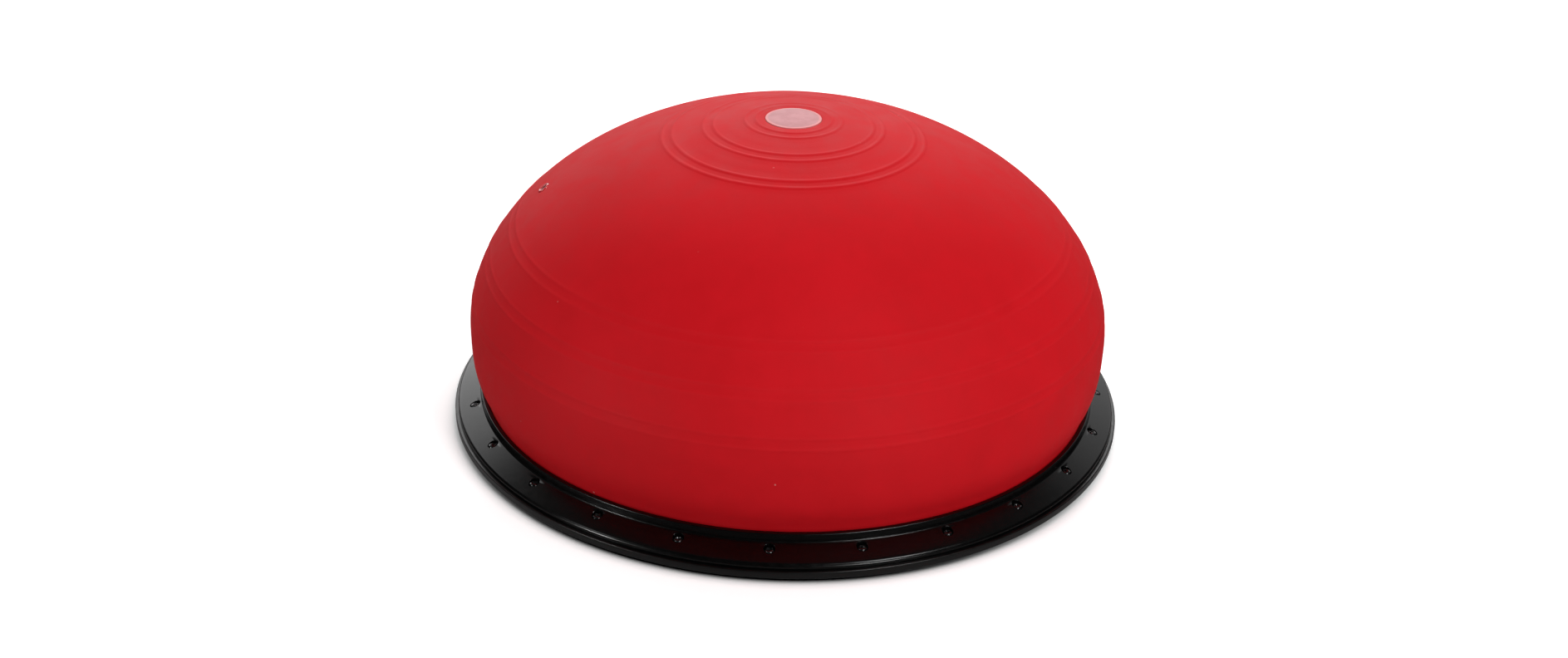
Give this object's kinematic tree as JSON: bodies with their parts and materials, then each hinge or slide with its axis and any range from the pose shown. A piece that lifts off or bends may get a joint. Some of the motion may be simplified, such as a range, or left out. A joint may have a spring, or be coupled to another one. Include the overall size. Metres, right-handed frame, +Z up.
{
  "type": "trampoline balance ball",
  "caption": "Air-filled rubber half ball clamped to a round black base plate by a screwed ring with a collar; raised rings on the dome, a crown disc and a needle valve.",
  "frame": {"origin": "on the floor, at the middle of the underside of the base, below the centre of the dome", "axes": "+Z up through the crown of the dome; -Y towards the side the picture shows; -X towards the valve"},
  "size_m": [0.52, 0.52, 0.2353],
  "materials": {
    "red_rubber": "satin",
    "pale_rubber": "satin",
    "valve_rubber": "satin",
    "black_plastic": "gloss",
    "base_plastic": "gloss",
    "black_steel": "satin black oxide",
    "grip_rubber": "matte"
  },
  "bodies": {
    "base": {"base_plate": "base_plastic", "grip_ring": "grip_rubber", "clamp_ring": "black_plastic", "dome_membrane": "red_rubber", "clamp_screw_01": "black_steel", "clamp_screw_02": "black_steel", "clamp_screw_03": "black_steel", "clamp_screw_04": "black_steel", "clamp_screw_05": "black_steel", "clamp_screw_06": "black_steel", "clamp_screw_07": "black_steel", "clamp_screw_08": "black_steel", "clamp_screw_09": "black_steel", "clamp_screw_10": "black_steel", "clamp_screw_11": "black_steel", "clamp_screw_12": "black_steel", "clamp_screw_13": "black_steel", "clamp_screw_14": "black_steel", "clamp_screw_15": "black_steel", "clamp_screw_16": "black_steel", "clamp_screw_17": "black_steel", "clamp_screw_18": "black_steel", "clamp_screw_19": "black_steel", "clamp_screw_20": "black_steel", "clamp_screw_21": "black_steel", "clamp_screw_22": "black_steel", "clamp_screw_23": "black_steel", "clamp_screw_24": "black_steel"},
    "crown": {"crown_disc": "pale_rubber"},
    "valve": {"inflation_valve": "valve_rubber"}
  },
  "joints": [
    {"name": "dome_press", "type": "slide", "parent": "base", "child": "crown", "axis": [0, 0, -1], "range_m": [0, 0.08], "stiffness_N_per_m": 10000, "deforming": ["dome_membrane"]},
    {"name": "valve_ride", "type": "slide", "parent": "base", "child": "valve", "axis": [0, 0, -1], "range_m": [0, 0.057]}
  ],
  "couplings": [
    {"joint": "valve_ride", "follows": "dome_press", "ratio": 0.7125}
  ]
}
